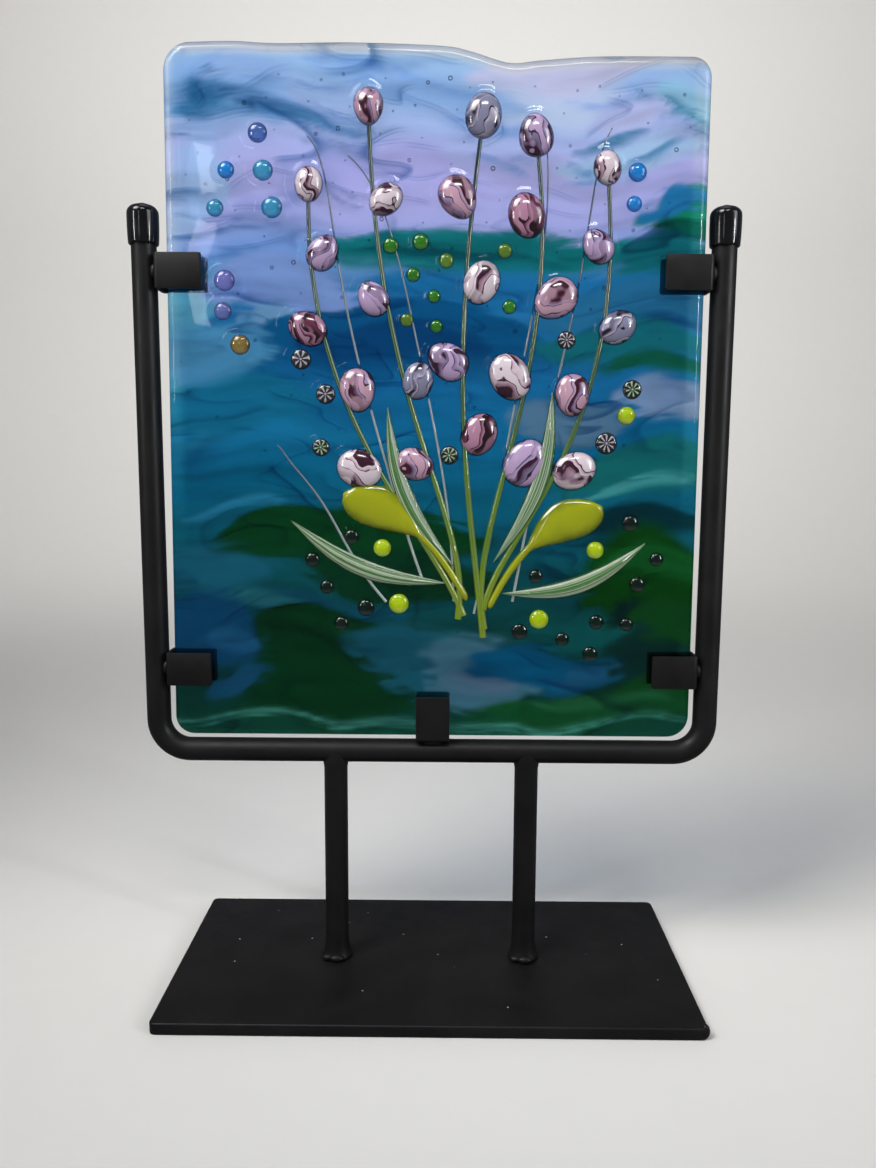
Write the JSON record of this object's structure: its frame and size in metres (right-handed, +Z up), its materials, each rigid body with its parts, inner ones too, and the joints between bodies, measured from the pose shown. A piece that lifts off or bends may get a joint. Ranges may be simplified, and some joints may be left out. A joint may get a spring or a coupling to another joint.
{
  "type": "fused glass panel on metal stand",
  "caption": "Fused glass art panel with raised budding stems, held by five clips in a black bent-bar stand with a flat base.",
  "frame": {"origin": "centre of the base plate's underside, on the surface that the stand rests on", "axes": "+Z up, +X to the right seen from the front, front face of the glass towards -Y"},
  "size_m": [0.2938, 0.127, 0.4596],
  "materials": {
    "art_glass": "fire polished, streaked lilac, blue and green",
    "marbled_glass": "opal lilac and white with aubergine streaks, fire polished",
    "green_glass": "lime and leaf green, fire polished",
    "accent_glass": "turquoise, amber, lilac and dark cane slices, fire polished",
    "black_coat": "satin black powder coat",
    "black_vinyl": "glossy black dipped vinyl"
  },
  "bodies": {
    "root": {"glass_panel": "art_glass", "frame_bar": "black_coat", "end_cap_left": "black_vinyl", "end_cap_right": "black_vinyl", "clip_upper_left": "black_coat", "clip_upper_right": "black_coat", "clip_lower_left": "black_coat", "clip_lower_right": "black_coat", "clip_bottom": "black_coat", "upright_left": "black_coat", "upright_right": "black_coat", "base_plate": "black_coat"}
  },
  "joints": []
}
